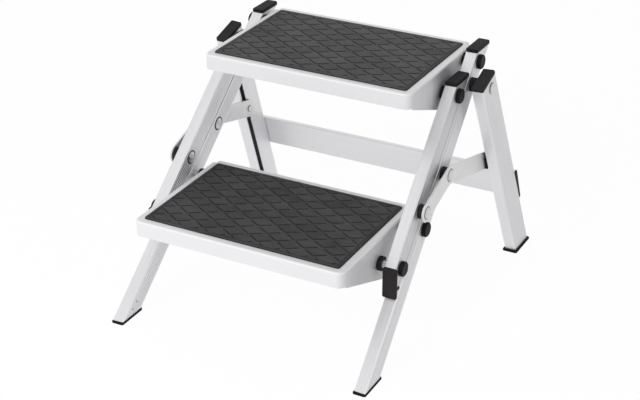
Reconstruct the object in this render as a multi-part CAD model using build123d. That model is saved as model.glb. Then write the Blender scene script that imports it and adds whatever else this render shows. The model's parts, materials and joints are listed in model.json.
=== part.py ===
from build123d import *
import os
from math import atan2, cos, degrees, radians, sin, tan

os.makedirs("parts", exist_ok=True)

# Stance: y runs to the back, z up from the floor, lengths in mm
RISE = 205.0                  # height from the lower tread to the upper one
GOING = 227.0                 # run from the lower tread to the upper one
LEAN = 2.86                   # lean of each side frame towards the middle, degrees
STILE_GAP = 6.6               # from the side of a tread to the stile, at the upper rear pivot
REAR_PIVOT_Y = 154.9          # rear pivot of the upper tread
REAR_PIVOT_Z = 388.0
LEG_SLOPE = 67.0              # slope of the rear legs from the floor, degrees

# Section shared by stiles and front rails
TUBE_W = 20.0
TUBE_D = 36.0
TUBE_WALL = 1.6
TUBE_ROUND = 1.5
GROOVES = 5                   # shallow grooves along each side face
GROOVE_PITCH = 5.4
GROOVE_W = 1.0
GROOVE_DEEP = 0.4
STILE_HEAD = 16.8             # level cut of the stiles, above the upper rear pivot
RAIL_HEAD = 17.4              # level cut of the front rails, above the upper front pivot
RAIL_FRONT = 20.0             # upright cut of the rails, ahead of the lower front pivot
RAIL_GAP = 2.0                # between rail and stile when the step stands open

# Section of the rear legs
LEG_W = 20.0
LEG_D = 55.0
LEG_WALL = 1.8
LEG_ROUND = 2.0
LEG_OUT = 36.0                # from the inner face of the stile to that of the leg
LEG_PIVOT_DOWN = 43.0         # leg pivot below the upper rear pivot, along the stile
LEG_PIVOT_IN = 33.4           # leg pivot behind the front face of the leg
LEG_HEAD = 17.0               # leg above its pivot
LEG_CUT = 6.0                 # tip of its top cut towards level, degrees
SLOT_W = 11.4                 # slot for the lever glide, along the inner face
SLOT_IN = 9.2                 # middle of the slot behind the front face
SLOT_WEB = 18.0               # web inside the leg behind the slot

# Levers
CRANK_ALONG = 84.0            # front to rear pivot of a tread, measured along the stile
LEVER_DOWN = 207.0            # lever pivot below the upper rear pivot, along the stile
LEVER_W = 32.0
LEVER_T = 3.0
LEVER_BEND = 22.0             # radius inside the bend
LEVER_EDGE = 0.5
PIN_DOWN = 152.0              # lever pin below the leg pivot, along the leg
GLIDE_L = 28.0
GLIDE_W = 20.0

# Treads, measured from their rear pivot
MAT_W = 350.0
MAT_D = 227.6
MAT_T = 5.0
MAT_ROUND = 4.0
MAT_TOP = 16.5                # mat above the rear pivot
MAT_BACK = 25.6               # back of the mat behind the rear pivot
MAT_PROUD = 1.8               # mat above the rim
MAT_FIT = 0.5                 # room around the mat
RIM_SIDE = 13.0
RIM_FRONT = 13.0
RIM_BACK = 6.0
SHEET = 2.0
FLANGE_H = 26.5
ROUND_FRONT = 13.0            # upright front corners of the tray
ROUND_BACK = 6.0
ROUND_TOP = 3.6
HEM = 8.0                     # return along the foot of the front flange
SKIRT = 6.0                   # rim that stands proud above the gussets
GUSSET_STEP = 0.8             # gussets set back from it
GUSSET_NOSE = 32.0            # depth of the gusset under the front of the mat
GUSSET_LOW = 38.7             # lowest point of the gusset, below the front pivot
GUSSET_LAG = 19.8             # and behind it
GUSSET_TAIL = 14.0            # end of the gusset behind the rear pivot
GUSSET_ROUND = 16.0

# Diamond pattern of the mats
DIAMOND_W = 49.2
DIAMOND_D = 30.5
LINE_W = 1.8                  # grooves that fall to the right
LINE_SHARE = 0.8              # part of a diamond's side that they cover
DASH_W = 2.2                  # grooves that rise to the right
DASH_SHARE = 0.74             # part of a diamond's side that they cover
LINE_DEEP = 0.9
BORDER = 5.0                  # border groove in from the edge
BORDER_W = 1.2

# Caps and feet
CAP_T = 6.0
CAP_LIP = 0.4
CAP_CORNER = 2.0
CAP_EDGE = 1.0
CAP_RIM = 2.6                 # raised border of the dished caps
CAP_DISH = 0.5
END_T = 4.2                   # plate of the upright end cap of a rail
PLUG = 12.0                   # depth of a plug inside its tube
PLUG_FIT = 0.2
END_LIP = 2.2                 # the same plate beyond the cut on each side
TAB_L = 9.0
TAB_H = 1.2
SOLE_T = 4.0
SOLE_LIP = 1.2                # sole beyond the side faces of the stile
SOLE_TOE = 3.0                # sole beyond the front and back faces
LEG_SOLE_LIP = 3.4

# Bolts, rivets and bushes
BOLT_R = 4.0
BOLT_HEAD_R = 7.0
BOLT_HEAD_T = 3.0
SNUG = 0.05                   # radial room of a fixed fit
RUN = 0.08                    # radial room of a running fit
FACE = 0.3                    # room between faces that turn on each other
SWING = 0.8                   # the same beside the leaning faces of a leg
DISC_R = 12.4
DISC_H = 7.0
DISC_EDGE = 1.5
BUSH_R = 12.0
TREAD_BUSH_L = 6.5
SPACER_R = 7.0
RIVET_R = 10.0
RIVET_H = 2.2
RIVET_FLAT = 6.0              # radius of the flat on a rivet head
LEVER_ROOM = 0.5              # between the lever and the cover discs it sweeps over
PIN_HEAD_R = 6.0
PIN_HEAD_T = 1.5

# Crossbar of the rear legs
BAR_H = 68.0
BAR_T = 7.0
BAR_WALL = 1.5
BAR_EDGE = 1.0
BAR_DOWN = 258.0              # middle of the bar below the leg pivot, along the leg
BAR_SEAT = 0.25               # room for the lean of the legs
BAR_CAP_T = 2.5
BAR_PLUG = 4.0

REACH = 1500.0                # larger than the whole step, for cutting

# Directions in the side view
lean = radians(LEAN)
climb = atan2(RISE, GOING)
slope = radians(LEG_SLOPE)
UP = Vector(0, cos(climb), sin(climb))
BACK = Vector(0, sin(climb), -cos(climb))
LEG_UP = Vector(0, -cos(slope), sin(slope))
LEG_BACK = Vector(0, sin(slope), cos(slope))
GUSSET_X = MAT_W / 2 + RIM_SIDE
STILE_IN = GUSSET_X + STILE_GAP + REAR_PIVOT_Z * tan(lean)
SIDE = Plane((STILE_IN, 0, 0), x_dir=(0, 1, 0), z_dir=(cos(lean), 0, sin(lean)))

# Pivots in the side view
CRANK = UP * CRANK_ALONG + BACK * (TUBE_D + RAIL_GAP)
UPPER_REAR = Vector(0, REAR_PIVOT_Y, REAR_PIVOT_Z)
LOWER_REAR = UPPER_REAR - Vector(0, GOING, RISE)
UPPER_FRONT = UPPER_REAR - CRANK
LOWER_FRONT = LOWER_REAR - CRANK
LEVER_REAR = UPPER_REAR - UP * LEVER_DOWN
LEVER_FRONT = LEVER_REAR - CRANK
LEG_PIVOT = UPPER_REAR - UP * LEG_PIVOT_DOWN
LEVER_PIN = LEG_PIVOT - LEG_UP * PIN_DOWN + LEG_BACK * (SLOT_IN - LEG_PIVOT_IN)
STILE_TOP = UPPER_REAR.Z + STILE_HEAD
RAIL_TOP = UPPER_FRONT.Z + RAIL_HEAD
RAIL_CUT = LOWER_FRONT.Y - RAIL_FRONT
LEG_MID = LEG_D / 2 - LEG_PIVOT_IN
MAT_FRONT = MAT_D - MAT_BACK
RIM_Z = MAT_TOP - MAT_PROUD


def side_x(out, z):
    """x at height z of the plane that lies out from the inner face of the stile."""
    return STILE_IN + (out - z * sin(lean)) / cos(lean)


LEVER_X = side_x(TUBE_W, LOWER_REAR.Z) + DISC_H + LEVER_ROOM


def on_side(pivot, out):
    return Vector(side_x(out, pivot.Z), pivot.Y, pivot.Z)


def along(direction):
    """Direction in the leaning side frame that looks like this one from the side."""
    return Vector(-tan(lean) * direction.Z, direction.Y, direction.Z).normalized()


def beyond(plane):
    """All that lies on the far side of a plane."""
    return plane * Box(REACH, REACH, REACH, align=(Align.CENTER, Align.CENTER, Align.MIN))


def outboard(out):
    return beyond(SIDE.offset(out))


def inboard(out):
    return beyond(-SIDE.offset(out))


def slab(low, high):
    return Pos(0, 0, (low + high) / 2) * Box(REACH, REACH, high - low)


def rod(pivot, radius, start, end):
    """Round bar across the width through a pivot."""
    return Pos((start + end) / 2, pivot.Y, pivot.Z) * Rot(0, 90, 0) * Cylinder(radius, end - start)


def pair(shape):
    return Compound(children=[shape, mirror(shape, about=Plane.YZ)])


def tube_section():
    outer = RectangleRounded(TUBE_W, TUBE_D, TUBE_ROUND)
    places = GridLocations(TUBE_W, GROOVE_PITCH, 2, GROOVES)
    return outer - cavity_section(0) - [at * Rectangle(2 * GROOVE_DEEP, GROOVE_W) for at in places]


def cavity_section(fit):
    return Rectangle(TUBE_W - 2 * (TUBE_WALL + fit), TUBE_D - 2 * (TUBE_WALL + fit))


def run_tube(section, pivot):
    """Section drawn along the climb of the stiles through a pivot, longer than needed."""
    plane = Plane(on_side(pivot, TUBE_W / 2), x_dir=SIDE.z_dir, z_dir=along(UP))
    return extrude(plane * section, REACH / 2, both=True)


def bores(pivots, radius):
    return [rod(pivot, radius, 0, REACH / 2) for pivot in pivots]


def axis_y(pivot, z):
    return pivot.Y + (z - pivot.Z) / tan(climb)


def stile():
    raw = run_tube(tube_section(), UPPER_REAR) & slab(SOLE_T, STILE_TOP)
    return raw - bores((UPPER_REAR, LOWER_REAR, LEVER_REAR, LEG_PIVOT), BOLT_R + SNUG)


def ahead(cut):
    """All that lies in front of an upright cut."""
    return Pos(0, cut, 0) * Box(REACH, REACH, REACH, align=(Align.CENTER, Align.MAX, Align.CENTER))


def rail():
    raw = (run_tube(tube_section(), UPPER_FRONT) & slab(0, RAIL_TOP)) - ahead(RAIL_CUT)
    return raw - bores((UPPER_FRONT, LOWER_FRONT, LEVER_FRONT), BOLT_R + SNUG)


def plate(width, length, height):
    """Flat moulded plate with cut corners and a bevelled upper edge."""
    block = extrude(chamfer(Rectangle(width, length).vertices(), CAP_CORNER), height)
    return chamfer(block.faces().sort_by(Axis.Z)[-1].edges(), CAP_EDGE)


def dished(width, length, height):
    """The same plate with a raised border."""
    dish = Box(width - 2 * CAP_RIM, length - 2 * CAP_RIM, 2 * CAP_DISH)
    return plate(width, length, height) - Pos(0, 0, height) * dish


def level_cap(pivot, cut):
    """Cap on a level cut at the top of a stile or rail, with its plug."""
    mid = Pos(side_x(TUBE_W / 2, cut), axis_y(pivot, cut), cut)
    width = TUBE_W / cos(lean) + 2 * CAP_LIP
    length = TUBE_D / sin(climb) + 2 * CAP_LIP
    plug = run_tube(cavity_section(PLUG_FIT), pivot) & slab(cut - PLUG, cut)
    return mid * plate(width, length, CAP_T) + plug


def rail_end():
    """Upright end cap at the foot of a rail, with its plug and snap tab."""
    z = UPPER_FRONT.Z + (RAIL_CUT - UPPER_FRONT.Y) * tan(climb)
    width = TUBE_W / cos(lean) + 2 * END_LIP
    height = TUBE_D / cos(climb) + 2 * END_LIP
    plane = Plane((side_x(TUBE_W / 2, z), RAIL_CUT, z), x_dir=(1, 0, 0), z_dir=(0, -1, 0))
    plug = run_tube(cavity_section(PLUG_FIT), UPPER_FRONT) & ahead(RAIL_CUT + PLUG)
    tab = Plane((side_x(TUBE_W, z), RAIL_CUT, z), x_dir=(0, 1, 0), z_dir=SIDE.z_dir)
    low = -TUBE_D / cos(climb) / 5
    tab = tab * Pos(TAB_L / 2, low, TAB_H / 2 + PLUG_FIT) * Box(TAB_L, TAB_L / 2, TAB_H)
    return plane * dished(width, height, END_T) + (plug - ahead(RAIL_CUT)) + tab


def stile_foot():
    mid = Pos(side_x(TUBE_W / 2, SOLE_T), axis_y(UPPER_REAR, SOLE_T), 0)
    width = TUBE_W / cos(lean) + 2 * SOLE_LIP
    length = TUBE_D / sin(climb) + 2 * SOLE_TOE
    plug = run_tube(cavity_section(PLUG_FIT), UPPER_REAR) & slab(SOLE_T, SOLE_T + PLUG)
    return mid * plate(width, length, SOLE_T) + plug


def leg_cavities(fit):
    """The slot channel and the main cavity inside a leg."""
    width = LEG_W - 2 * (LEG_WALL + fit)
    front = -LEG_D / 2 + LEG_WALL + fit
    web = -LEG_D / 2 + SLOT_WEB
    back = LEG_D / 2 - LEG_WALL - fit
    channel = Pos(0, (front + web - fit) / 2) * Rectangle(width, web - fit - front)
    main = Pos(0, (web + LEG_WALL + fit + back) / 2) * Rectangle(width, back - web - LEG_WALL - fit)
    return channel, main


def leg_plane(up):
    """Plane across a leg, this far above its pivot."""
    origin = on_side(LEG_PIVOT, LEG_OUT + LEG_W / 2) + along(LEG_BACK) * LEG_MID
    return Plane(origin, x_dir=SIDE.z_dir, z_dir=along(LEG_UP)).offset(up)


def leg_top():
    """Plane of the cut at the head of a leg."""
    return leg_plane(LEG_HEAD).rotated((-LEG_CUT, 0, 0))


def leg():
    channel, main = leg_cavities(0)
    slot = Pos(-LEG_W / 2, -LEG_D / 2 + SLOT_IN) * Rectangle(2 * LEG_WALL + 1, SLOT_W)
    section = RectangleRounded(LEG_W, LEG_D, LEG_ROUND) - channel - main - slot
    raw = extrude(leg_plane(LEG_D) * section, -REACH / 2) & slab(SOLE_T, REACH)
    return raw - beyond(leg_top()) - rod(LEG_PIVOT, BOLT_R + RUN, 0, REACH / 2)


def leg_cap():
    low = max(LEG_HEAD - PLUG, BOLT_R + RUN + PLUG_FIT)
    plug = extrude(leg_plane(low) * leg_cavities(PLUG_FIT)[1], LEG_D) - beyond(leg_top())
    length = LEG_D / cos(radians(LEG_CUT)) + 2 * CAP_LIP
    return leg_top() * dished(LEG_W + 2 * CAP_LIP, length, CAP_T) + plug


def leg_foot():
    down = (LEG_PIVOT.Z - SOLE_T) / tan(slope)
    y = LEG_PIVOT.Y + down + LEG_MID / sin(slope)
    mid = Pos(side_x(LEG_OUT + LEG_W / 2, SOLE_T), y, 0)
    width = LEG_W / cos(lean) + 2 * LEG_SOLE_LIP
    length = LEG_D / sin(slope) + 2 * SOLE_TOE
    plug = extrude(leg_plane(0) * leg_cavities(PLUG_FIT)[1], -REACH / 2) & slab(SOLE_T, SOLE_T + PLUG)
    return mid * plate(width, length, SOLE_T) + plug


def cover_disc(pivot):
    """Black cover on the outer face of a stile or rail, over the end of a tread bolt."""
    face = side_x(TUBE_W, pivot.Z)
    disc = rod(pivot, DISC_R, face - DISC_R * tan(lean), face + DISC_H)
    return chamfer(disc.edges().sort_by(Axis.X)[-1], DISC_EDGE) - inboard(TUBE_W)


def tread_bolt(pivot):
    """Bolt from inside the gusset to just under its cover disc."""
    end = side_x(TUBE_W, pivot.Z) - BOLT_R * tan(lean) - SNUG
    inner = GUSSET_X - SHEET - FACE
    return rod(pivot, BOLT_R, inner, end) + rod(pivot, BOLT_HEAD_R, inner - BOLT_HEAD_T, inner)


def tread_bush(pivot, length):
    """Bush beside the gusset, or filling the way to the tube where length is None."""
    start = GUSSET_X + FACE
    hole = rod(pivot, BOLT_R + SNUG, 0, REACH / 2)
    if length is None:
        return rod(pivot, BUSH_R, start, side_x(-1, 0)) - outboard(0) - hole
    return rod(pivot, BUSH_R, start, start + length) - hole


def spacer(pivot):
    """Sleeve from the bush of the lower tread to the tube."""
    start = GUSSET_X + FACE + TREAD_BUSH_L
    return rod(pivot, SPACER_R, start, side_x(-1, 0)) - outboard(0) - rod(pivot, BOLT_R + SNUG, 0, REACH / 2)


def rivet(pivot, outer):
    """Rivet from the inner face of a tube to x = outer, with a bevelled head at each end."""
    seat = RIVET_R * tan(lean)
    inner = side_x(0, pivot.Z) - seat
    points = [(inner - RIVET_H, 0), (outer + RIVET_H, 0), (outer + RIVET_H, RIVET_FLAT), (outer, RIVET_R),
              (outer, BOLT_R), (inner + 2 * seat, BOLT_R), (inner + 2 * seat, RIVET_R), (inner, RIVET_R),
              (inner - RIVET_H, RIVET_FLAT)]
    raw = Pos(0, pivot.Y, pivot.Z) * revolve(make_face(Polyline(*points, close=True)), Axis.X)
    ring = rod(pivot, RIVET_R + 1, inner, inner + 2 * seat) - rod(pivot, BOLT_R, inner, inner + 2 * seat)
    return raw - (ring - inboard(0))


def lever_rivet(pivot):
    """Rivet through tube, bush and lever."""
    return rivet(pivot, LEVER_X + LEVER_T + FACE)


def lever_bush(pivot):
    bush = rod(pivot, BUSH_R, side_x(TUBE_W, pivot.Z) - BUSH_R * tan(lean), LEVER_X - FACE)
    return bush - inboard(TUBE_W) - rod(pivot, BOLT_R + SNUG, 0, REACH / 2)


def leg_rivet():
    """Rivet through stile, bush and leg."""
    return rivet(LEG_PIVOT, side_x(LEG_OUT + LEG_W, LEG_PIVOT.Z) + SWING)


def leg_bush():
    start = side_x(TUBE_W, LEG_PIVOT.Z) - BUSH_R * tan(lean)
    bush = rod(LEG_PIVOT, BUSH_R, start, side_x(LEG_OUT, LEG_PIVOT.Z) - SWING)
    return bush - inboard(TUBE_W) - rod(LEG_PIVOT, BOLT_R + SNUG, 0, REACH / 2)


def link(start, end):
    """Outline of a straight link with round ends, in the side view."""
    mid = (start + end) * 0.5
    run = end - start
    turn = Rot(0, 0, degrees(atan2(run.Z, run.Y)))
    return Pos(mid.Y, mid.Z) * turn * SlotCenterToCenter(run.length, LEVER_W)


def lever():
    outline = link(LEVER_FRONT, LEVER_REAR) + link(LEVER_REAR, LEVER_PIN)
    below = outline.vertices().sort_by_distance((LEVER_REAR.Y, LEVER_REAR.Z - LEVER_W / 2, 0))[0]
    outline = fillet(below, LEVER_BEND)
    plane = Plane((LEVER_X, 0, 0), x_dir=(0, 1, 0), z_dir=(1, 0, 0))
    plate = extrude(plane * outline, LEVER_T)
    plate = chamfer(plate.faces().sort_by(Axis.X)[-1].outer_wire().edges(), LEVER_EDGE)
    plate -= bores((LEVER_FRONT, LEVER_REAR), BOLT_R + RUN)
    return plate - rod(LEVER_PIN, BOLT_R + SNUG, 0, REACH / 2)


def pin_end():
    """Outer end of the lever pin and of its glide, short of the leg."""
    return side_x(LEG_OUT, LEVER_PIN.Z) - SWING


def lever_pin():
    """Pin through the rear end of a lever, with a flat head on its inner side."""
    head = rod(LEVER_PIN, PIN_HEAD_R, LEVER_X - PIN_HEAD_T, LEVER_X)
    return rod(LEVER_PIN, BOLT_R, LEVER_X, pin_end()) + head


def glide():
    """Block that turns on the lever pin and lies along the slot of the leg."""
    start = LEVER_X + LEVER_T + FACE
    plane = Plane((start, LEVER_PIN.Y, LEVER_PIN.Z), x_dir=(0, LEG_UP.Y, LEG_UP.Z), z_dir=(1, 0, 0))
    outline = chamfer(Rectangle(GLIDE_L, GLIDE_W).vertices(), CAP_CORNER)
    block = extrude(plane * outline, pin_end() - start)
    return block - rod(LEVER_PIN, BOLT_R + RUN, 0, REACH / 2)


def bar_plane(x):
    """Plane across the crossbar, its first direction up the legs."""
    mid = LEG_PIVOT - LEG_UP * BAR_DOWN + LEG_BACK * (LEG_D - LEG_PIVOT_IN + BAR_SEAT + BAR_T / 2)
    return Plane((x, mid.Y, mid.Z), x_dir=(0, LEG_UP.Y, LEG_UP.Z), z_dir=(1, 0, 0))


def bar_end():
    return side_x(LEG_OUT + LEG_W, bar_plane(0).origin.Z) - BAR_CAP_T


def bar_section():
    return chamfer(Rectangle(BAR_H, BAR_T).vertices(), BAR_EDGE)


def bar_hollow(fit):
    return Rectangle(BAR_H - 2 * (BAR_WALL + fit), BAR_T - 2 * (BAR_WALL + fit))


def crossbar():
    return extrude(bar_plane(0) * (bar_section() - bar_hollow(0)), bar_end(), both=True)


def bar_cap():
    cover = extrude(bar_plane(bar_end()) * bar_section(), BAR_CAP_T)
    return cover + extrude(bar_plane(bar_end()) * bar_hollow(PLUG_FIT), -BAR_PLUG)


def tray_block(inset):
    """Rounded block of the tray, or drawn in by the sheet for its hollow with a bevelled edge."""
    width = MAT_W + 2 * (RIM_SIDE - inset)
    depth = MAT_D + RIM_FRONT + RIM_BACK - 2 * inset
    mid = Pos(0, -MAT_FRONT - RIM_FRONT + inset + depth / 2, RIM_Z - inset)
    block = mid * Box(width, depth, FLANGE_H, align=(Align.CENTER, Align.CENTER, Align.MAX))
    upright = block.edges().filter_by(Axis.Z).sort_by(Axis.Y)
    block = fillet(upright[:2], ROUND_FRONT - inset)
    upright = block.edges().filter_by(Axis.Z).sort_by(Axis.Y)
    block = fillet(upright[-2:], ROUND_BACK - inset)
    soften = chamfer if inset else fillet
    return soften(block.faces().sort_by(Axis.Z)[-1].edges(), ROUND_TOP - inset)


def recess(grow, low, high):
    """Block of the mat's outline, grown on all sides, between two levels."""
    room = 2 * (MAT_FIT + grow)
    outline = RectangleRounded(MAT_W + room, MAT_D + room, MAT_ROUND + MAT_FIT + grow)
    return Pos(0, MAT_D / 2 - MAT_FRONT, low) * extrude(outline, high - low)


def gusset():
    """Side plate that hangs from the tray and carries both of its pivots."""
    top = RIM_Z - ROUND_TOP - SHEET
    lowest = (GUSSET_LAG - CRANK.Y, -CRANK.Z - GUSSET_LOW)
    front = [(-MAT_FRONT, top), (-MAT_FRONT, MAT_TOP - GUSSET_NOSE)]
    back = [(GUSSET_TAIL, RIM_Z - FLANGE_H), (GUSSET_TAIL, top)]
    outline = make_face(Polyline(*front, lowest, *back, close=True))
    outline = fillet(outline.vertices().sort_by(Axis.Y)[0], GUSSET_ROUND)
    plane = Plane((GUSSET_X - SHEET, 0, 0), x_dir=(0, 1, 0), z_dir=(1, 0, 0))
    return extrude(plane * outline, SHEET)


def set_back(side):
    """Skin taken off a gusset, so that rim and corners stand proud of it."""
    skin = Box(2 * GUSSET_STEP, MAT_D, REACH, align=(Align.CENTER, Align.CENTER, Align.MAX))
    return Pos(side * GUSSET_X, MAT_BACK - MAT_D / 2, RIM_Z - SKIRT) * skin


def tray():
    """Pressed tread pan about its rear pivot: rim, recess, hemmed front and two gussets."""
    pan = tray_block(0) - tray_block(SHEET)
    floor = RIM_Z + MAT_PROUD - MAT_T
    pan += recess(SHEET, floor - SHEET, RIM_Z - SHEET / 2)
    pan -= recess(0, floor, RIM_Z + MAT_PROUD)
    hem = Box(MAT_W, HEM, SHEET, align=(Align.CENTER, Align.MIN, Align.MIN))
    pan += Pos(0, -MAT_FRONT - RIM_FRONT + SHEET / 2, RIM_Z - FLANGE_H) * hem
    pan += [gusset(), mirror(gusset(), about=Plane.YZ)]
    pan -= [set_back(-1), set_back(1)]
    centre = Vector(0, 0, 0)
    return pan - [rod(pivot, BOLT_R + RUN, -REACH / 2, REACH / 2) for pivot in (centre, centre - CRANK)]


def clipped(start, run):
    """Part of a straight line, as two shares of its run, that stays inside the border groove."""
    low, high = -REACH, REACH
    half = (MAT_W / 2 - BORDER - 2 * BORDER_W, MAT_D / 2 - BORDER - 2 * BORDER_W)
    for place, step, limit in zip(start, run, half):
        ends = sorted(((-limit - place) / step, (limit - place) / step))
        low, high = max(low, ends[0]), min(high, ends[1])
    return low, high


def groove(start, run, low, high, width):
    """Thin block along a straight line, sunk into the top of the mat."""
    length = Vector(*run).length * (high - low)
    mid = [place + step * (low + high) / 2 for place, step in zip(start, run)]
    turn = Rot(0, 0, degrees(atan2(run[1], run[0])))
    return Pos(mid[0], mid[1], MAT_T) * turn * Box(length, width, 2 * LINE_DEEP)


def diamond_grooves():
    """From each crossing a groove that rises to the right and, after a gap, one that falls to the right."""
    half_w, half_d = DIAMOND_W / 2, DIAMOND_D / 2
    cols = int(MAT_W / DIAMOND_W) + 1
    rows = int(MAT_D / DIAMOND_D) + 1
    corner = LINE_W / DIAMOND_D
    arms = (((half_w, -half_d), 1 - LINE_SHARE, 1, LINE_W), ((half_w, half_d), corner, DASH_SHARE, DASH_W))
    grooves = []
    for col in range(-2 * cols, 2 * cols + 1):
        for row in range(-1, 2 * rows + 1):
            if (col + row) % 2:
                continue
            start = (col * half_w, row * half_d - MAT_D / 2)
            for run, first, last, width in arms:
                low, high = clipped(start, run)
                low, high = max(low, first), min(high, last)
                if high - low > corner:
                    grooves.append(groove(start, run, low, high, width))
    return grooves


def mat():
    """Rubber mat about the rear pivot of its tread, with a border groove and a diamond pattern."""
    sheet = extrude(RectangleRounded(MAT_W, MAT_D, MAT_ROUND), MAT_T)
    ring = Rectangle(MAT_W - 2 * BORDER, MAT_D - 2 * BORDER)
    ring -= Rectangle(MAT_W - 2 * BORDER - 2 * BORDER_W, MAT_D - 2 * BORDER - 2 * BORDER_W)
    sheet -= [Pos(0, 0, MAT_T - LINE_DEEP) * extrude(ring, 2 * LINE_DEEP)] + diamond_grooves()
    return Pos(0, MAT_D / 2 - MAT_FRONT, MAT_TOP - MAT_T) * sheet


def place(shape, pivot):
    return Pos(0, pivot.Y, pivot.Z) * shape


def both(maker, *pivots):
    """The same small piece at each pivot, on both sides."""
    pieces = [maker(pivot) for pivot in pivots]
    return Compound(children=pieces + [mirror(piece, about=Plane.YZ) for piece in pieces])


def build():
    tread, cover = tray(), mat()
    nodes = {
        "stile_caps": pair(level_cap(UPPER_REAR, STILE_TOP)),
        "stile_feet": pair(stile_foot()),
        "rail_caps": pair(level_cap(UPPER_FRONT, RAIL_TOP)),
        "rail_end_caps": pair(rail_end()),
        "leg_caps": pair(leg_cap()),
        "leg_feet": pair(leg_foot()),
        "upper_tray": place(tread, UPPER_REAR),
        "lower_tray": place(tread, LOWER_REAR),
        "upper_mat": place(cover, UPPER_REAR),
        "lower_mat": place(cover, LOWER_REAR),
        "rear_bolts": both(tread_bolt, UPPER_REAR, LOWER_REAR),
        "front_bolts": both(tread_bolt, UPPER_FRONT, LOWER_FRONT),
        "rear_discs": both(cover_disc, UPPER_REAR, LOWER_REAR),
        "front_discs": both(cover_disc, UPPER_FRONT, LOWER_FRONT),
        "upper_rear_bushes": pair(tread_bush(UPPER_REAR, None)),
        "upper_front_bushes": pair(tread_bush(UPPER_FRONT, None)),
        "lower_rear_bushes": pair(tread_bush(LOWER_REAR, TREAD_BUSH_L)),
        "lower_front_bushes": pair(tread_bush(LOWER_FRONT, TREAD_BUSH_L)),
        "rear_spacers": pair(spacer(LOWER_REAR)),
        "front_spacers": pair(spacer(LOWER_FRONT)),
        "lever_rear_rivets": pair(lever_rivet(LEVER_REAR)),
        "lever_front_rivets": pair(lever_rivet(LEVER_FRONT)),
        "lever_rear_bushes": pair(lever_bush(LEVER_REAR)),
        "lever_front_bushes": pair(lever_bush(LEVER_FRONT)),
        "leg_rivets": pair(leg_rivet()),
        "leg_bushes": pair(leg_bush()),
        "lever_pins": pair(lever_pin()),
        "glides": pair(glide()),
        "crossbar": crossbar(),
        "crossbar_caps": pair(bar_cap()),
    }
    for name, maker in (("stile", stile), ("rail", rail), ("lever", lever), ("leg", leg)):
        nodes["right_" + name] = maker()
        nodes["left_" + name] = mirror(nodes["right_" + name], about=Plane.YZ)
    return nodes


for name, shape in build().items():
    export_step(shape, f"parts/{name}.step")
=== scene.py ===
import json
from math import atan2, cos, pi, radians, sin, tan

import bpy
from bpy.props import FloatProperty, FloatVectorProperty, PointerProperty
from bpy.types import Operator, Panel, PropertyGroup
from mathutils import Matrix, Vector


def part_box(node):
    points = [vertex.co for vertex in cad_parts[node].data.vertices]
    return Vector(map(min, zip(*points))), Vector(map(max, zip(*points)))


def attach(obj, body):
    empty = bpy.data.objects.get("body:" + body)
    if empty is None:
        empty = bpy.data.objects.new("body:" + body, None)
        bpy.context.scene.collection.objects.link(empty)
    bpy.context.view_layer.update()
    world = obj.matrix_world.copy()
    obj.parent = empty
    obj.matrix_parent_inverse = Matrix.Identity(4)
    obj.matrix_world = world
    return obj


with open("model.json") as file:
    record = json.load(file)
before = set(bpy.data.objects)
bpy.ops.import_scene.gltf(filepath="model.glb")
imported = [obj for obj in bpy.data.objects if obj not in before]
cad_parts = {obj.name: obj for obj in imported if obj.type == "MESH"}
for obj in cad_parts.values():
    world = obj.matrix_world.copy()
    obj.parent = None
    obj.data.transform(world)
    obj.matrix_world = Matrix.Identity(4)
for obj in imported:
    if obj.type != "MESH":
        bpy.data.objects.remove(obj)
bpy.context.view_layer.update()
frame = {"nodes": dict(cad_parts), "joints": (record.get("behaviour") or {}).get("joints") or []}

bl_info = {
    "name": "Folding Caravan Step",
    "version": (1, 0, 0),
    "blender": (4, 5, 0),
    "location": "View3D > Sidebar > Step",
    "description": "Finishes, small parts, stage and camera for a folding caravan entry step",
    "category": "Object",
}

NODES = frame["nodes"]

# Pivots of the linkage in the side view
PIVOTS = {joint["name"]: Vector(joint["pos_m"]) for joint in frame["joints"]}
UPPER_REAR = PIVOTS["upper_fold"]
LOWER_REAR = PIVOTS["lower_fold"]
UPPER_FRONT = PIVOTS["rail_fold"]
LOWER_FRONT = LOWER_REAR + (UPPER_FRONT - UPPER_REAR)
LEG_PIVOT = PIVOTS["leg_fold"]

# Side frames: their lean towards the middle, and the directions of their tubes
LEAN = radians(2.86)
SIDE = Vector((cos(LEAN), 0, sin(LEAN)))
CLIMB = atan2(UPPER_REAR.z - LOWER_REAR.z, UPPER_REAR.y - LOWER_REAR.y)
CLIMB_UP = Vector((0, cos(CLIMB), sin(CLIMB)))
CLIMB_FRONT = Vector((0, -sin(CLIMB), cos(CLIMB)))
LEG_SLOPE = radians(113)
LEG_UP = Vector((0, cos(LEG_SLOPE), sin(LEG_SLOPE)))
LEG_BACK = Vector((0, sin(LEG_SLOPE), -cos(LEG_SLOPE)))
LEVER_SLOPE = 0.24

# Inner face of the right stile, drawn out to the floor
STILE_LOW, STILE_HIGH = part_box("right_stile")
STILE_IN = STILE_LOW[0] + STILE_HIGH[2] * tan(LEAN)

# Sections of the tubes, and the place of a leg: out from the stile, and back from its pivot
TUBE_W = 0.020
TUBE_D = 0.036
LEG_D = 0.055
LEG_OUT = 0.036
LEG_MIDDLE = -0.0059

# Coat: the share and fade of its painted highlight on rounded edges, and the shade of its painted reflection
# bands on the gussets
COAT_HIGHLIGHT_SHARE = 0.6
COAT_HIGHLIGHT_FADE = (0.08, 0.24)
BAND_SHADE = 0.06

# Outer faces of the gussets, which lie past this
GUSSET_SKIN = 0.0012
GUSSET_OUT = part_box("upper_tray")[1][0] - GUSSET_SKIN

# Patch of painted shade on the upper gussets: its place behind the front pivot, its fade to each side, and
# its shade
SHADE_PATCH_BEHIND = 0.009
SHADE_PATCH_FADE = (0.014, 0.052)
SHADE_PATCH_DEPTH = (0.48, 0.04)
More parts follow.
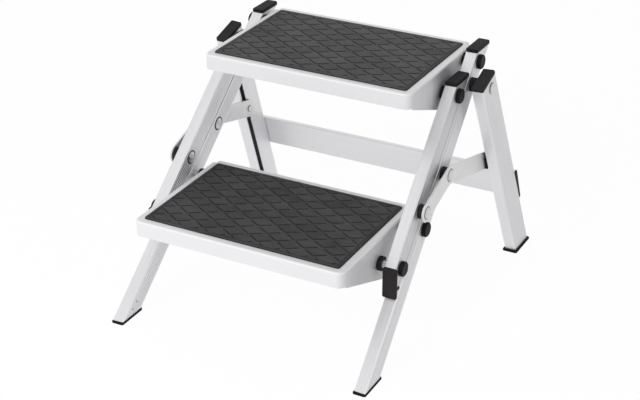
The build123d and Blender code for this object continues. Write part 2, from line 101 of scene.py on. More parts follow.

# Mats: size of a diamond, the plain border round the diamonds, and the fade and shade of the painted shade
# along its right edge
DIAMOND_W = 0.0492
DIAMOND_D = 0.0305
MAT_BORDER = 0.0074
MAT_EDGE_FADE = (0.0045, 0.0025)
MAT_EDGE_SHADE = 0.5

# Grooves of the mats: their fade by height and their shade, and in shares of a diamond, their sides and ends
GROOVE_FADE = (-0.0008, -0.0002)
GROOVE_SHADE = 0.8
FALLING_SIDES = (0.03, 0.065)
FALLING_START = 0.2
RISING_SIDES = (0.035, 0.075)
RISING_STOP = 0.74

# Unevenness of the rubber: the shares of dust, of unlike diamonds and of smears
DUST_SHARE = 0.5
DIAMOND_SHARE = 0.15
SMEAR_SHARE = 0.35

# Tone of the lower mat beside the upper one, and the painted groove shadow of both
LOWER_TONE = 0.76
UPPER_GROOVE_SHADOW = 0.78
LOWER_GROOVE_SHADOW = 0.5

# Rivets: pitch of the turned rings, and the shade and fade of the rim and of the plate round a head
RING_PITCH = 0.0006
RIM_SHADE = 0.5
RIM_FADE = (0.82, 0.98)
HEAD_SHADE = 0.7
HEAD_FADE = (0.0006, 0.0022)

# New heads are sunk this far into the face that they stand on
SEAT = 0.00005

# New pieces: sides of a round bar, and the angle up to which its faces look smooth
ROUND_SIDES = 24
SMOOTH_ANGLE = radians(35)

# Floor: its size, and its drop below the feet
FLOOR_SIZE = 60
FLOOR_DROP = 0.0005

# Camera: width of its frame in mm, and how far it sees
SENSOR_W = 36
SIGHT = 100


def on_side(out, y, z):
    """A point of the right side frame, so far out from the inner face of its stile."""
    return Vector((STILE_IN + (out - z * sin(LEAN)) / cos(LEAN), y, z))


def tube_turn(slope):
    """Turn of a tube's own frame: along it, across the side frame, and through its depth."""
    run = Vector((-tan(LEAN) * sin(slope), cos(slope), sin(slope))).normalized()
    return Matrix((run, SIDE, run.cross(SIDE))).transposed().to_euler()


def middle(name):
    """Centre of a CAD node's box."""
    low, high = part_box(name)
    return (Vector(low) + Vector(high)) / 2


def head_radius(name):
    """Radius of the rivets of a CAD node, which lie along X."""
    low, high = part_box(name)
    return (high[2] - low[2]) / 2


class StepFinish(PropertyGroup):
    """Colours and finishes of the step."""

    aluminium: FloatVectorProperty(
        name="Tube Aluminium", description="Colour of the drawn tubes",
        default=(0.79, 0.79, 0.81), subtype="COLOR", min=0, max=1)
    plate: FloatVectorProperty(
        name="Lever Plate", description="Colour of the flat levers",
        default=(0.75, 0.75, 0.755), subtype="COLOR", min=0, max=1)
    coat: FloatVectorProperty(
        name="Tray Coat", description="Colour of the coated trays",
        default=(0.83, 0.825, 0.845), subtype="COLOR", min=0, max=1)
    # Colour of the painted highlight that the coat nears on its rounded edges
    coat_highlight: FloatVectorProperty(
        name="Tray Edges", description="Colour that the coat nears on the rounded edges",
        default=(0.96, 0.96, 0.97), subtype="COLOR", min=0, max=1)
    rubber: FloatVectorProperty(
        name="Mat Rubber", description="Colour of the tread mats",
        default=(0.0715, 0.0705, 0.071), subtype="COLOR", min=0, max=1)
    plastic: FloatVectorProperty(
        name="Black Plastic", description="Colour of caps, feet, bushes and discs",
        default=(0.018, 0.0158, 0.0166), subtype="COLOR", min=0, max=1)
    zinc: FloatVectorProperty(
        name="Zinc", description="Colour of rivets and sleeves",
        default=(0.62, 0.62, 0.61), subtype="COLOR", min=0, max=1)
    # Dark colour of the crimps, as painted shade in their dimples
    crimp_shade: FloatVectorProperty(
        name="Crimped Metal", description="Colour of the crimps in the stiles",
        default=(0.248, 0.248, 0.244), subtype="COLOR", min=0, max=1)
    streak: FloatProperty(
        name="Drawn Streaks", description="Strength of the bands along the tubes",
        default=0.06, min=0, max=1, subtype="FACTOR")
    groove: FloatProperty(
        name="Groove Shade", description="How dark the grooves along the tubes are",
        default=0.06, min=0, max=1, subtype="FACTOR")
    grain: FloatProperty(
        name="Plastic Grain", description="Size of the grain on the black plastic",
        default=0.0009, min=0.0001, max=0.01, unit="LENGTH")


class StepSmallParts(PropertyGroup):
    """Sizes of the small parts that are modelled here."""

    bar_rivet: FloatProperty(
        name="Crossbar Rivet", description="Radius of the rivet heads behind the crossbar",
        default=0.006, min=0.001, unit="LENGTH")
    bar_rivet_height: FloatProperty(
        name="Crossbar Rivet Height", description="Height of those heads",
        default=0.0022, min=0.0005, unit="LENGTH")
    bar_rivet_spread: FloatProperty(
        name="Crossbar Rivet Spread", description="Distance between the two heads on a leg",
        default=0.036, min=0.01, unit="LENGTH")
    edge: FloatProperty(
        name="Rear Edge", description="Width of the rolled edge behind a tray",
        default=0.012, min=0.002, unit="LENGTH")
    edge_height: FloatProperty(
        name="Rear Edge Height", description="Thickness of that edge",
        default=0.006, min=0.001, unit="LENGTH")
    edge_inset: FloatProperty(
        name="Rear Edge Inset", description="Distance of its ends from the sides of the tray",
        default=0.007, min=0, unit="LENGTH")
    edge_behind: FloatProperty(
        name="Rear Edge Behind", description="Distance of its middle behind the tray",
        default=0.001, min=0, unit="LENGTH")
    edge_above: FloatProperty(
        name="Rear Edge Above", description="Rise of its top above the tray",
        default=0.0015, min=0, unit="LENGTH")
    crimp: FloatProperty(
        name="Foot Crimp", description="Radius of the crimps that hold a foot in its stile",
        default=0.0019, min=0.0005, unit="LENGTH")
    crimp_height: FloatProperty(
        name="Foot Crimp Height", description="Rise of a crimp above the face of the stile",
        default=0.0003, min=0.0001, unit="LENGTH")
    crimp_run: FloatProperty(
        name="Foot Crimp Run", description="Distance of the first crimp down the stile from the upper pivot",
        default=0.549, min=0.1, unit="LENGTH")
    crimp_spread: FloatProperty(
        name="Foot Crimp Spread", description="Distance between the two crimps of a stile",
        default=0.015, min=0.005, unit="LENGTH")
    crimp_front: FloatProperty(
        name="Foot Crimp Front", description="Distance of the crimps in front of the stile's pivots",
        default=0.005, min=0, unit="LENGTH")


class StepStage(PropertyGroup):
    """Camera, lamps and floor."""

    azimuth: FloatProperty(
        name="Azimuth", description="Turn of the camera around the step",
        default=radians(27.849), subtype="ANGLE", unit="ROTATION")
    elevation: FloatProperty(
        name="Elevation", description="Height angle of the camera",
        default=radians(27.067), subtype="ANGLE", unit="ROTATION")
    eye: FloatVectorProperty(
        name="Camera Place", description="Where the camera stands",
        default=(1.0880, -2.0627, 1.3405), subtype="XYZ", unit="LENGTH")
    lens: FloatProperty(
        name="Lens", description="Focal length for a frame 36 mm wide",
        default=86.29, min=10, max=300, unit="CAMERA")
    key: FloatProperty(
        name="Key Lamp", description="Power of the large lamp in front",
        default=50.0, min=0, unit="POWER")
    key_place: FloatVectorProperty(
        name="Key Lamp Place", description="Where the large lamp in front stands",
        default=(-0.6, -3.1, 1.5), subtype="XYZ", unit="LENGTH")
    key_size: FloatProperty(
        name="Key Lamp Size", description="Diameter of the large lamp in front",
        default=2.2, min=0.1, unit="LENGTH")
    top: FloatProperty(
        name="Top Lamp", description="Power of the large lamp overhead",
        default=2.5, min=0, unit="POWER")
    top_place: FloatVectorProperty(
        name="Top Lamp Place", description="Where the large lamp overhead hangs",
        default=(0.4, 0.2, 2.8), subtype="XYZ", unit="LENGTH")
    top_size: FloatProperty(
        name="Top Lamp Size", description="Diameter of the large lamp overhead",
        default=2.4, min=0.1, unit="LENGTH")
    aim: FloatVectorProperty(
        name="Lamp Aim", description="The point that both lamps face",
        default=(0, 0, 0.2), subtype="XYZ", unit="LENGTH")
    sky: FloatProperty(
        name="Room Light", description="Even light of the white room", default=0.545, min=0)
    floor: FloatVectorProperty(
        name="Floor", description="Colour of the floor under the lamps",
        default=(0.9, 0.9, 0.9), subtype="COLOR", min=0, max=1)
    glow: FloatProperty(
        name="Floor Glow", description="How bright the floor looks in itself", default=1.02, min=0)
    glow_share: FloatProperty(
        name="Floor Glow Share", description="How much of that glow covers the shadows on the floor",
        default=0.93, min=0, max=1, subtype="FACTOR")


def shade(colour, factor):
    """A colour made lighter or darker."""
    return tuple(min(1.0, channel * factor) for channel in colour)


class NodeTree:
    """Short hand for wiring a material or a world."""

    def __init__(self, owner, shader):
        owner.use_nodes = True
        self.owner = owner
        self.nodes = owner.node_tree.nodes
        self.links = owner.node_tree.links
        self.shader = self.nodes[shader]

    def add(self, kind, inputs=None, **values):
        """A new node with its options and inputs."""
        node = self.nodes.new(kind)
        for key, value in values.items():
            setattr(node, key, value)
        for socket, source in (inputs or {}).items():
            self.feed(node.inputs[socket], source)
        return node

    def feed(self, socket, source):
        """Link a socket to another, or set its value."""
        if isinstance(source, bpy.types.NodeSocket):
            self.links.new(source, socket)
        else:
            socket.default_value = source

    def set(self, **values):
        """Feed the sockets of the shader."""
        for key, source in values.items():
            self.feed(self.shader.inputs[key.replace("_", " ")], source)

    def math(self, operation, first, second=0.0):
        """One step of arithmetic on one or two values."""
        return self.add("ShaderNodeMath", {0: first, 1: second}, operation=operation).outputs[0]

    def product(self, first, *others):
        """All the values multiplied."""
        for other in others:
            first = self.math("MULTIPLY", first, other)
        return first

    def span(self, value, low, high, start=0.25, end=0.75):
        """A value from start to end, spread from low to high."""
        node = self.add("ShaderNodeMapRange", {
            "Value": value, "From Min": start, "From Max": end, "To Min": low, "To Max": high})
        return node.outputs["Result"]

    def seen(self):
        """1 for what the camera sees, also mirrored or through glass, and 0 for light on the step."""
        rays = self.add("ShaderNodeLightPath").outputs
        mirrored = self.math("MAXIMUM", rays["Is Camera Ray"], rays["Is Glossy Ray"])
        return self.math("MAXIMUM", mirrored, rays["Is Transmission Ray"])


class MaterialTree(NodeTree):
    """Short hand for wiring one finish."""

    def __init__(self, name):
        super().__init__(bpy.data.materials.new(name), "Principled BSDF")

    def coords(self, kind="Object"):
        """Coordinates of the piece itself."""
        return self.add("ShaderNodeTexCoord").outputs[kind]

    def axes(self, vector):
        """X, Y and Z of a vector."""
        return self.add("ShaderNodeSeparateXYZ", {"Vector": vector}).outputs[:]

    def joined(self, x, y, z):
        """A vector of X, Y and Z."""
        return self.add("ShaderNodeCombineXYZ", {"X": x, "Y": y, "Z": z}).outputs[0]

    def folded(self):
        """Object coordinates with the left side laid over the right one."""
        x, y, z = self.axes(self.coords())
        return self.joined(self.math("ABSOLUTE", x), y, z)

    def place(self, vector, origin=(0, 0, 0), turn=(0, 0, 0), size=(1, 1, 1)):
        """Coordinates in a frame with its own origin, turn and size of unit."""
        node = self.add("ShaderNodeMapping", {
            "Vector": vector, "Location": origin, "Rotation": turn, "Scale": size}, vector_type="TEXTURE")
        return node.outputs["Vector"]

    def noise(self, vector, detail=2.0, roughness=0.5):
        """Noise whose forms are about one unit large."""
        node = self.add("ShaderNodeTexNoise", {
            "Vector": vector, "Scale": 1.0, "Detail": detail, "Roughness": roughness})
        return node.outputs["Fac"]

    def grain(self, size, detail=2.0, roughness=0.5):
        """Noise of one size in all directions."""
        return self.noise(self.place(self.coords(), size=(size, size, size)), detail, roughness)

    def tint(self, factor, first, second):
        """A mix of two colours."""
        node = self.add("ShaderNodeMix", data_type="RGBA")
        for socket, source in (("Factor", factor), ("A", first), ("B", second)):
            self.feed(node.inputs[socket], (*source, 1) if isinstance(source, tuple) else source)
        return node.outputs["Result"]

    def mottled(self, noise, colour, dark, light, start=0.25, end=0.75):
        """A colour that a noise varies between a dark and a light tone."""
        return self.tint(self.span(noise, 0, 1, start, end), shade(colour, dark), shade(colour, light))

    def darker(self, colour, *shares):
        """A colour under shade, as deep as the product of the shares."""
        node = self.add("ShaderNodeMix", data_type="RGBA", blend_type="MULTIPLY")
        self.feed(node.inputs["Factor"], self.product(*shares))
        self.feed(node.inputs["A"], colour)
        self.feed(node.inputs["B"], (0, 0, 0, 1))
        return node.outputs["Result"]

    def apart(self, value, centre):
        """How far a value lies from its centre."""
        return self.math("ABSOLUTE", self.math("SUBTRACT", value, centre))

    def radius(self, centre):
        """Distance from an axis along X."""
        _, y, z = self.axes(self.place(self.coords(), origin=(0, centre[1], centre[2])))
        return self.math("SQRT", self.math("ADD", self.product(y, y), self.product(z, z)))

    def finished(self, bump, strength, distance):
        """The material, with its bump laid on."""
        node = self.add("ShaderNodeBump", {"Height": bump, "Strength": strength, "Distance": distance})
        self.set(Normal=node.outputs["Normal"])
        return self.owner


class DrawnTube(MaterialTree):
    """Satin aluminium drawn along its own X, with Y across the side frame and Z through the tube's depth."""

    # Size of the streaks along, across and through a tube
    LINES = (0.30, 0.0014, 0.0014)
    BANDS = (0.22, 0.006, 0.006)
    CLOUDS = (0.09, 0.03, 0.03)

    # Grooves: half their pitch, half the width that they cover, and the fade from their middle
    HALF_PITCH = 0.0027
    GROOVED = 0.0135
    GROOVE_FADE = (0.0003, 0.0009)

    # Ribs between strong grooves, a painted reflection: that fade, the tones of groove and rib, and the run
    # in which they grow
    RIB_FADE = (0.0008, 0.0018)
    RIB_TONES = (0.42, 1.27)
    RIB_RUN = 0.018

    # Painted highlights on the edges: the fade from them, and the tone that they near by a share
    EDGE_HIGHLIGHT_FADE = (0.0010, 0.0024)
    EDGE_HIGHLIGHT_TONE = 1.14
    EDGE_HIGHLIGHT_SHARE = 0.6

    # Painted shade inside the wall of a tube
    WALL = 0.0011
    HOLLOW_SHADE = 0.62

    # How deep the marks of one face reach, the fade of a strip of painted shade in shares of its width, and
    # of a ring of painted shadow
    SKIN = 0.0018
    STRIP_FADE = (0.3, 0.7)
    RING_FADE = (0.0018, 0.0026)

    def __init__(self, name, colour, streak, origin, turn):
        super().__init__(name)
        self.colour = colour
        folded = self.folded()
        self.lines = self.noise(self.place(folded, origin, turn, self.LINES))
        self.clouds = self.noise(self.place(folded, origin, turn, self.CLOUDS), detail=3.0, roughness=0.6)
        self.along, self.out, self.depth = self.axes(self.place(folded, origin, turn))
        bands = self.noise(self.place(folded, origin, turn, self.BANDS))
        self.base = self.mottled(bands, colour, 1 - streak, 1 + streak / 2)

    def from_groove(self):
        """Distance from the middle of the nearest groove."""
        return self.math("PINGPONG", self.depth, self.HALF_PITCH)

    def on_grooves(self):
        """1 on the width that the grooves cover."""
        return self.math("LESS_THAN", self.math("ABSOLUTE", self.depth), self.GROOVED)

    def on_inner_face(self):
        """1 on the face towards the middle of the step."""
        return self.math("LESS_THAN", self.out, self.SKIN - TUBE_W / 2)

    def grooves(self, amount):
        """Shade in the grooves."""
        near = self.span(self.from_groove(), amount, 0, *self.GROOVE_FADE)
        self.base = self.darker(self.base, near, self.on_grooves())

    def strip(self, depth, width, amount, lowest=-1.0):
        """A strip of painted shade along the outer face, down to its lowest place along the tube."""
        start, end = (width * share for share in self.STRIP_FADE)
        near = self.span(self.apart(self.depth, depth), amount, 0, start, end)
        outer = self.math("GREATER_THAN", self.out, TUBE_W / 2 - self.SKIN)
        upper = self.math("GREATER_THAN", self.along, lowest)
        self.base = self.darker(self.base, near, outer, upper)

    def edges(self, deep):
        """Painted highlights on the rounded edges, and painted shade inside the tube."""
        from_side = self.math("SUBTRACT", TUBE_W / 2, self.math("ABSOLUTE", self.out))
        from_front = self.math("SUBTRACT", deep / 2, self.math("ABSOLUTE", self.depth))
        away = self.math("ADD", from_side, from_front)
        # Painted highlight along the rounded corners of the tube
        edge_highlight = self.span(away, self.EDGE_HIGHLIGHT_SHARE, 0, *self.EDGE_HIGHLIGHT_FADE)
        self.base = self.tint(edge_highlight, self.base, shade(self.colour, self.EDGE_HIGHLIGHT_TONE))
        # Painted shade on the inner walls of the tube
        hollow = self.math("GREATER_THAN", self.math("MINIMUM", from_side, from_front), self.WALL)
        self.base = self.darker(self.base, hollow, self.HOLLOW_SHADE)

    def ribs(self, start):
        """Strong stripes of painted reflection in the grooves of the inner face, from a place along the tube
        downwards.
        """
        striped = self.mottled(self.from_groove(), self.colour, *self.RIB_TONES, *self.RIB_FADE)
        grown = self.span(self.along, 0, 1, start, start - self.RIB_RUN)
        shown = self.product(self.on_inner_face(), grown, self.on_grooves())
        self.base = self.tint(shown, self.base, striped)

    def ring(self, centre, radius):
        """A black ring of painted shadow round the rivet head on the inner face."""
        start, end = (radius + past for past in self.RING_FADE)
        near = self.span(self.radius(centre), 1, 0, start, end)
        self.base = self.darker(self.base, near, self.on_inner_face())

    def drawn(self):
        """The material of the tube."""
        self.set(Base_Color=self.base, Metallic=0.75, Roughness=self.span(self.clouds, 0.4, 0.5))
        return self.finished(self.lines, strength=0.12, distance=0.0002)


def satin_plate(name, colour, slope, centres, radius):
    """Rolled plate with soft clouds, fine scratches and a little shade round the rivet heads."""
    tree = MaterialTree(name)
    turn = (slope, 0, 0)
    wide = tree.place(tree.coords(), turn=turn, size=(0.5, 0.05, 0.02))
    fine = tree.place(tree.coords(), turn=turn, size=(0.5, 0.05, 0.0012))
    clouds = tree.noise(wide, detail=3.0, roughness=0.6)
    lines = tree.noise(fine, roughness=0.6)
    base = tree.mottled(clouds, colour, dark=0.92, light=1.05)
    fade = [radius + past for past in HEAD_FADE]
    for centre in centres:
        base = tree.darker(base, tree.span(tree.radius(centre), HEAD_SHADE, 0, *fade))
    tree.set(Base_Color=base, Metallic=0.75, Roughness=tree.span(clouds, 0.38, 0.5))
    return tree.finished(lines, strength=0.08, distance=0.0002)


def tray_coat(name, colour, highlight_colour, shade_patch_y=None):
    """Pale coat with a faint orange peel, a fine fleck, a painted highlight on the rounded edges and painted
    reflection bands on the gussets.
    """
    tree = MaterialTree(name)
    peel = tree.grain(0.0024)
    fleck = tree.grain(0.0004, detail=1.0)
    base = tree.mottled(fleck, colour, dark=0.97, light=1.02)
    sideways, _, upward = tree.axes(tree.coords("Normal"))
    rounded = tree.product(upward, tree.math("SUBTRACT", 1.0, upward))
    # Painted highlight on the rounded edges
    base = tree.tint(tree.span(rounded, 0, COAT_HIGHLIGHT_SHARE, *COAT_HIGHLIGHT_FADE), base, highlight_colour)
    # Painted reflection bands that darken the faces looking sideways
    facing = tree.math("ABSOLUTE", sideways)
    bands = tree.noise(tree.place(tree.coords(), size=(0.4, 0.02, 0.3)))
    base = tree.darker(base, facing, tree.span(bands, BAND_SHADE, 0))
    # Painted shade on the outer faces of the gussets, darkest a little behind the front pivot
    if shade_patch_y is not None:
        x, y, _ = tree.axes(tree.coords())
        dull = tree.span(tree.apart(y, shade_patch_y), *SHADE_PATCH_DEPTH, *SHADE_PATCH_FADE)
        outside = tree.math("GREATER_THAN", tree.math("ABSOLUTE", x), GUSSET_OUT)
        base = tree.darker(base, outside, facing, dull)
    tree.set(Base_Color=base, Metallic=0.15, Roughness=tree.span(peel, 0.3, 0.36), Specular_IOR_Level=0.4)
    return tree.finished(peel, strength=0.05, distance=0.0004)


def mat_rubber(name, colour, node, groove_shadow_depth):
    """Dull black rubber in diamonds of slightly unlike shade, with painted shade in the grooves and along
    the right edge, and dusty on top.
    """
    low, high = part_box(node)
    half_width, half_reach = ((high[axis] - low[axis]) / 2 for axis in (0, 1))
    tree = MaterialTree(name)

    # Diamonds, whose edges lie where rise and fall are whole numbers
    front = tree.place(tree.coords(), (0, low[1], high[2]), size=(DIAMOND_W, DIAMOND_D, 1))
    across, along, level = tree.axes(front)
    rise = tree.math("ADD", across, along)
    fall = tree.math("SUBTRACT", across, along)
    cell = tree.joined(tree.math("FLOOR", rise), tree.math("FLOOR", fall), 0.0)

    # Dust, smears and unlike diamonds
    dust = tree.grain(0.05, detail=5.0, roughness=0.62)
    long = tree.place(tree.coords(), size=(0.03, 0.008, 0.03))
    smears = tree.noise(long, detail=3.0, roughness=0.6)
    unlike = tree.add("ShaderNodeTexWhiteNoise", {"Vector": cell}).outputs["Value"]
    mixed = tree.math("ADD", tree.product(dust, DUST_SHARE), tree.product(unlike, DIAMOND_SHARE))
    mixed = tree.math("ADD", mixed, tree.product(smears, SMEAR_SHARE))
    base = tree.mottled(mixed, colour, dark=0.72, light=1.42, start=0.35, end=0.65)

    # Painted shadow along the grooves, which stop short of each other, and painted shade on the right border
    falling = tree.product(
        tree.span(tree.math("PINGPONG", rise, 0.5), 1, 0, *FALLING_SIDES),
        tree.math("GREATER_THAN", tree.math("FRACT", fall), FALLING_START))
    rising = tree.product(
        tree.span(tree.math("PINGPONG", fall, 0.5), 1, 0, *RISING_SIDES),
        tree.math("LESS_THAN", tree.math("FRACT", rise), RISING_STOP))
    side, reach, _ = tree.axes(tree.place(tree.coords(), middle(node), size=(half_width, half_reach, 1)))
    inside = tree.product(
        tree.math("LESS_THAN", tree.math("ABSOLUTE", side), 1 - MAT_BORDER / half_width),
        tree.math("LESS_THAN", tree.math("ABSOLUTE", reach), 1 - MAT_BORDER / half_reach))
    groove_shadow = tree.product(tree.math("MAXIMUM", falling, rising), inside, groove_shadow_depth)
    # Painted shade at the bottom of the grooves
    sunk = tree.span(level, GROOVE_SHADE, 0, *GROOVE_FADE)
    # Painted shade along the right edge of the mat
    border = tree.span(side, 0, MAT_EDGE_SHADE, *(1 - inset / half_width for inset in MAT_EDGE_FADE))
    base = tree.darker(base, tree.math("MAXIMUM", tree.math("MAXIMUM", sunk, groove_shadow), border))

    tree.set(Base_Color=base, Roughness=tree.span(dust, 0.62, 0.76), Specular_IOR_Level=0.22)
    grain = tree.grain(0.0007, detail=3.0, roughness=0.6)
    return tree.finished(grain, strength=0.25, distance=0.0005)


def moulded_plastic(name, colour, grain, smooth, dull):
    """Black moulded plastic with a fine spark grain, its roughness between smooth and dull."""
    tree = MaterialTree(name)
    clouds = tree.grain(0.016)
    base = tree.mottled(clouds, colour, dark=0.85, light=1.2)
    tree.set(Base_Color=base, Roughness=tree.span(clouds, smooth, dull), Specular_IOR_Level=0.05)
    return tree.finished(tree.grain(grain, roughness=0.6), strength=0.2, distance=0.0003)


def turned_steel(name, colour, centre, radius=None):
    """Zinc plated steel with fine rings about its axis, and painted shade on the rim of a head."""
    tree = MaterialTree(name)
    away = tree.radius(centre)
    rings = tree.noise(tree.joined(tree.math("DIVIDE", away, RING_PITCH), 0.0, 0.0), detail=1.0)
    clouds = tree.grain(0.006)
    base = tree.mottled(clouds, colour, dark=0.92, light=1.06)
    if radius:
        # Painted shade on the rim of the head
        base = tree.darker(base, tree.span(away, 0, RIM_SHADE, *(radius * share for share in RIM_FADE)))
    tree.set(Base_Color=base, Metallic=0.9, Roughness=tree.span(clouds, 0.24, 0.36))
    return tree.finished(rings, strength=0.08, distance=0.0002)


def pressed_steel(name, colour):
    """Plated steel of small heads, bolts and crimps."""
    tree = MaterialTree(name)
    clouds = tree.grain(0.003, detail=3.0, roughness=0.6)
    base = tree.mottled(clouds, colour, dark=0.85, light=1.05)
    tree.set(Base_Color=base, Metallic=0.9, Roughness=tree.span(clouds, 0.26, 0.4))
    return tree.finished(clouds, strength=0.1, distance=0.0002)


def dress(material, *names):
    """Give a finish to CAD nodes by name."""
    for name in names:
        slots = NODES[name].data.materials
        slots.clear()
        slots.append(material)


def round_bar(name, radius, length, **placing):
    """A round bar to shape a piece from, with its place in its mesh."""
    bpy.ops.object.select_all(action="DESELECT")
    bpy.ops.mesh.primitive_cylinder_add(vertices=ROUND_SIDES, radius=radius, depth=length, **placing)
    piece = bpy.context.object
    piece.name = name
    bpy.ops.object.transform_apply(location=True, rotation=True, scale=True)
    return piece


def pick(piece, wanted):
    """Go to edit mode with only the wanted faces of a piece selected."""
    bpy.ops.object.mode_set(mode="EDIT")
    bpy.ops.mesh.select_mode(type="FACE")
    bpy.ops.mesh.select_all(action="DESELECT")
    bpy.ops.object.mode_set(mode="OBJECT")
    for face in piece.data.polygons:
        face.select = wanted(face)
    bpy.ops.object.mode_set(mode="EDIT")


def round_head(name, radius, height, hollow):
    """A rounded head standing on the XY plane, with a dimple pressed into its middle."""
    piece = round_bar(name, radius, height, location=(0, 0, height / 2))

    def on_top(face):
        return face.normal.z > 0.9 and face.center.z > height * 0.99

    pick(piece, on_top)
    bpy.ops.mesh.bevel(offset=height * 0.8, segments=3, affect="EDGES")
    bpy.ops.object.mode_set(mode="OBJECT")
    pick(piece, on_top)
    bpy.ops.mesh.inset(thickness=radius * 0.25)
    bpy.ops.mesh.inset(thickness=radius * 0.12, depth=-hollow)
    bpy.ops.object.mode_set(mode="OBJECT")
    bpy.ops.object.shade_smooth_by_angle(angle=SMOOTH_ANGLE)
    return piece


def rolled_edge(name, length, width, height):
    """A flat round bead along X about the origin, with its ends rounded off."""
    piece = round_bar(name, width / 2, length, rotation=(0, pi / 2, 0))
    pick(piece, lambda face: abs(face.normal.x) > 0.9)
    bpy.ops.mesh.bevel(offset=width * 0.4, segments=5, affect="EDGES")
    bpy.ops.mesh.select_all(action="SELECT")
    bpy.ops.transform.resize(value=(1, 1, height / width))
    bpy.ops.object.mode_set(mode="OBJECT")
    bpy.ops.object.shade_smooth_by_angle(angle=SMOOTH_ANGLE)
    return piece


def copies(piece, places, material):
    """Copies of a piece, each with its own mesh, standing along a normal at its place on its body."""
    piece.data.materials.append(material)
    for number, (place, normal, body) in enumerate(places, 1):
        turn = normal.to_track_quat("Z", "Y").to_matrix().to_4x4()
        copy = piece.copy()
        copy.data = piece.data.copy()
        copy.name = f"{piece.name}_{number}"
        copy.data.transform(Matrix.Translation(place) @ turn)
        bpy.context.collection.objects.link(copy)
        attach(copy, body)
    bpy.data.objects.remove(piece)


def both_sides(place, normal, body):
    """A place on the right side frame and the like one on the left."""
    flip = Matrix.Scale(-1, 3, (1, 0, 0))
    return [(place, normal, body), (flip @ place, flip @ normal, body)]


class StepOperator(Operator):
    """Shared options of the step's operators."""

    bl_options = {"REGISTER", "UNDO"}

    @property
    def finish(self):
        return bpy.context.scene.step_finish

    @property
    def small(self):
        return bpy.context.scene.step_small

    @property
    def stage(self):
        return bpy.context.scene.step_stage


class STEP_OT_tubes(StepOperator):
    """Give the stiles, front rails, rear legs and crossbar their drawn aluminium"""

    bl_idname = "step.tubes"
    bl_label = "Tubes"

    def execute(self, context):
        self.stiles()
        self.rails()
        self.legs()
        bar = self.tube("bar_aluminium", middle("crossbar"), (0, 0, 0), streak=1 / 3)
        dress(bar.drawn(), "crossbar")
        return {"FINISHED"}

    def tube(self, name, origin, turn, tone=1.0, streak=1.0):
        colour = shade(tuple(self.finish.aluminium), tone)
        return DrawnTube(name, colour, self.finish.streak * streak, origin, turn)

    def stiles(self):
        tube = self.tube("stile_aluminium", on_side(TUBE_W / 2, *UPPER_REAR.yz), tube_turn(CLIMB))
        tube.grooves(self.finish.groove)
        # Painted shadow of the gap between rail and stile, along the front corner of the outer face
        tube.strip(depth=-0.0165, width=0.004, amount=0.45, lowest=-0.40)
        tube.edges(TUBE_D)
        # Painted shadow round the rear rivet heads
        tube.ring(middle("lever_rear_rivets"), head_radius("lever_rear_rivets"))
        dress(tube.drawn(), "left_stile", "right_stile")

    def rails(self):
        tube = self.tube("rail_aluminium", on_side(TUBE_W / 2, *UPPER_FRONT.yz), tube_turn(CLIMB))
        tube.grooves(self.finish.groove)
        # Painted shade along the front corner of the outer face, in the groove at 10.8 mm, and over the
        # whole outer face
        tube.strip(depth=-0.0170, width=0.005, amount=0.35)
        tube.strip(depth=0.0108, width=0.004, amount=0.2)
        tube.strip(depth=0.0, width=0.05, amount=0.12)
        tube.edges(TUBE_D)
        rivet = middle("lever_front_rivets")
        # Painted reflection stripes in the grooves below the front rivet
        tube.ribs(start=(rivet - UPPER_FRONT).dot(CLIMB_UP))
        # Painted shadow round the front rivet heads
        tube.ring(rivet, head_radius("lever_front_rivets"))
        dress(tube.drawn(), "left_rail", "right_rail")

    def legs(self):
        origin = on_side(LEG_OUT + TUBE_W / 2, *(LEG_PIVOT + LEG_BACK * LEG_MIDDLE).yz)
        tube = self.tube("leg_aluminium", origin, tube_turn(LEG_SLOPE), tone=1.01, streak=1 / 2)
        # Painted shade over the whole outer face
        tube.strip(depth=0.0, width=0.2, amount=0.12)
        tube.edges(LEG_D)
        dress(tube.drawn(), "left_leg", "right_leg")


class STEP_OT_levers(StepOperator):
    """Give the flat levers their satin plate"""

    bl_idname = "step.levers"
    bl_label = "Levers"

    def execute(self, context):
        rivets = [middle("lever_rear_rivets"), middle("lever_front_rivets")]
        radius = head_radius("lever_rear_rivets")
        plate = satin_plate("lever_plate", tuple(self.finish.plate), LEVER_SLOPE, rivets, radius)
        dress(plate, "left_lever", "right_lever")
        return {"FINISHED"}


class STEP_OT_treads(StepOperator):
    """Coat the trays and lay the rubber on the mats"""

    bl_idname = "step.treads"
    bl_label = "Treads"

    def execute(self, context):
        coats = tuple(self.finish.coat), tuple(self.finish.coat_highlight)
        dress(tray_coat("upper_tray_coat", *coats, shade_patch_y=UPPER_FRONT.y + SHADE_PATCH_BEHIND), "upper_tray")
        dress(tray_coat("lower_tray_coat", *coats), "lower_tray")
        rubber = tuple(self.finish.rubber)
        dress(mat_rubber("upper_mat_rubber", rubber, "upper_mat", UPPER_GROOVE_SHADOW), "upper_mat")
        lower_rubber = shade(rubber, LOWER_TONE)
        dress(mat_rubber("lower_mat_rubber", lower_rubber, "lower_mat", LOWER_GROOVE_SHADOW), "lower_mat")
        return {"FINISHED"}


